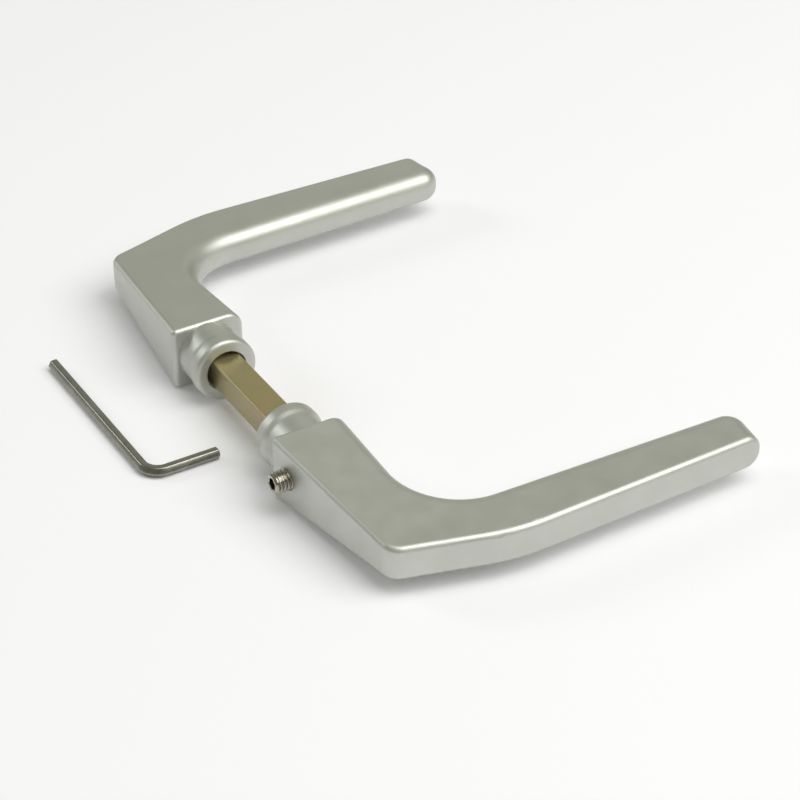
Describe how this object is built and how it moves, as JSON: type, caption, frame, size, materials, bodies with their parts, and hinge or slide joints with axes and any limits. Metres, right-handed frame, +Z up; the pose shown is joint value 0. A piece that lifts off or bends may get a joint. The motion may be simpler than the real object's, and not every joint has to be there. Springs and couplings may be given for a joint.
{
  "type": "door lever handle",
  "caption": "Pair of satin aluminium door lever handles on a square spindle, the near one fixed by a grub screw, with its hex key.",
  "frame": {"origin": "on the spindle's axis, halfway between the faces of the two collars", "axes": "+X along the spindle to the near lever (the one with the screw), +Y along the grips to their tips, +Z up"},
  "size_m": [0.1746, 0.136, 0.0186],
  "materials": {
    "lever_satin": "satin silver, fine matt blasted",
    "sleeve_steel": "plain turned steel",
    "spindle_steel": "steel, yellow passivated zinc",
    "pin_steel": "plain steel",
    "screw_steel": "stainless steel, bright",
    "key_steel": "nickel plated steel, satin"
  },
  "bodies": {
    "handle": {"far_lever": "lever_satin", "far_sleeve": "sleeve_steel", "spindle": "spindle_steel", "retaining_pin": "pin_steel"},
    "near_lever": {"near_lever": "lever_satin", "near_sleeve": "sleeve_steel"},
    "grub_screw": {"grub_screw": "screw_steel"},
    "hex_key": {"hex_key": "key_steel"}
  },
  "joints": [
    {"name": "near_lever_slide", "type": "slide", "parent": "handle", "child": "near_lever", "axis": [1, 0, 0], "range_m": [-0.006, 0.014]},
    {"name": "screw_feed", "type": "slide", "parent": "near_lever", "child": "grub_screw", "axis": [0, 1, 0], "range_m": [-0.003, 0.00155]},
    {"name": "key_lift", "type": "slide", "parent": "handle", "child": "hex_key", "axis": [0, 0, 1], "range_m": [0, 0.06]}
  ]
}
